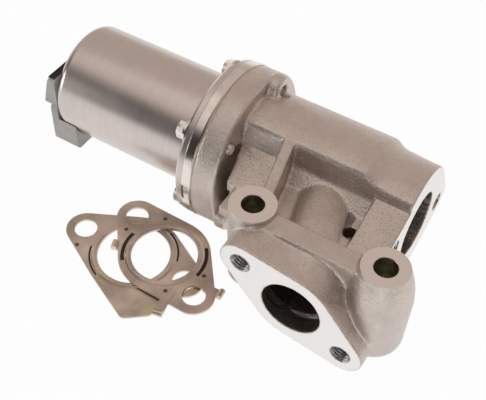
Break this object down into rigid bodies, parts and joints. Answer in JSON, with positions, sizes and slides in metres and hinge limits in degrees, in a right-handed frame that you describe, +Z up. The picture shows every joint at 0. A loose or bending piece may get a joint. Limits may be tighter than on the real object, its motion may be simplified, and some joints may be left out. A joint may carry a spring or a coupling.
{
  "type": "egr valve",
  "caption": "Solenoid-driven EGR valve: cast aluminium poppet housing with slanted two-hole flanges, steel solenoid can, side plug and loose steel gaskets.",
  "frame": {"origin": "centre of the left mounting boss bore, on the boss top face", "axes": "+X along the valve axis from the solenoid to the outlet flange, -Y out of the inlet flange, +Z up the mounting boss bores"},
  "size_m": [0.1889, 0.1178, 0.071],
  "materials": {
    "cast_aluminium": "as-cast aluminium with machined faces",
    "plate_steel": "polished steel plate",
    "can_steel": "satin drawn steel",
    "zinc_steel": "bright zinc",
    "hard_steel": "turned heat-resisting steel",
    "soft_iron": "turned magnetic iron",
    "gasket_steel": "rolled gasket steel",
    "seal_rubber": "moulded rubber",
    "bronze": "sintered bronze",
    "copper_wire": "enamelled copper wire",
    "spring_steel": "drawn spring wire",
    "cap_plastic": "glass-filled black plastic",
    "bobbin_plastic": "natural moulded plastic",
    "board": "coated circuit board",
    "tin_plate": "tinned terminals"
  },
  "bodies": {
    "housing": {"body_casting": "cast_aluminium", "body_gasket": "gasket_steel", "adapter_plate": "plate_steel", "can_o_ring": "seal_rubber", "solenoid_can": "can_steel", "flange_screws": "zinc_steel", "valve_seat": "hard_steel", "guide_bush": "bronze", "stem_seal": "seal_rubber", "stem_shield": "hard_steel", "pole_piece": "soft_iron", "armature_sleeve": "hard_steel", "coil_bobbin": "bobbin_plastic", "coil_winding": "copper_wire", "flux_washer": "soft_iron", "return_spring": "spring_steel", "sensor_housing": "cap_plastic", "sensor_board": "board", "sensor_spring": "spring_steel", "end_cap": "cap_plastic", "connector_terminals": "tin_plate", "cap_seal": "seal_rubber", "inlet_gasket": "gasket_steel", "outlet_gasket": "gasket_steel"},
    "valve": {"valve_stem": "hard_steel", "poppet": "hard_steel", "armature": "soft_iron", "sensor_plunger": "bobbin_plastic"}
  },
  "joints": [
    {"name": "valve_lift", "type": "slide", "parent": "housing", "child": "valve", "axis": [1, 0, 0], "range_m": [0, 0.006], "stiffness_N_per_m": 2500, "springref_m": -0.006, "deforming": ["return_spring", "sensor_spring"]}
  ]
}
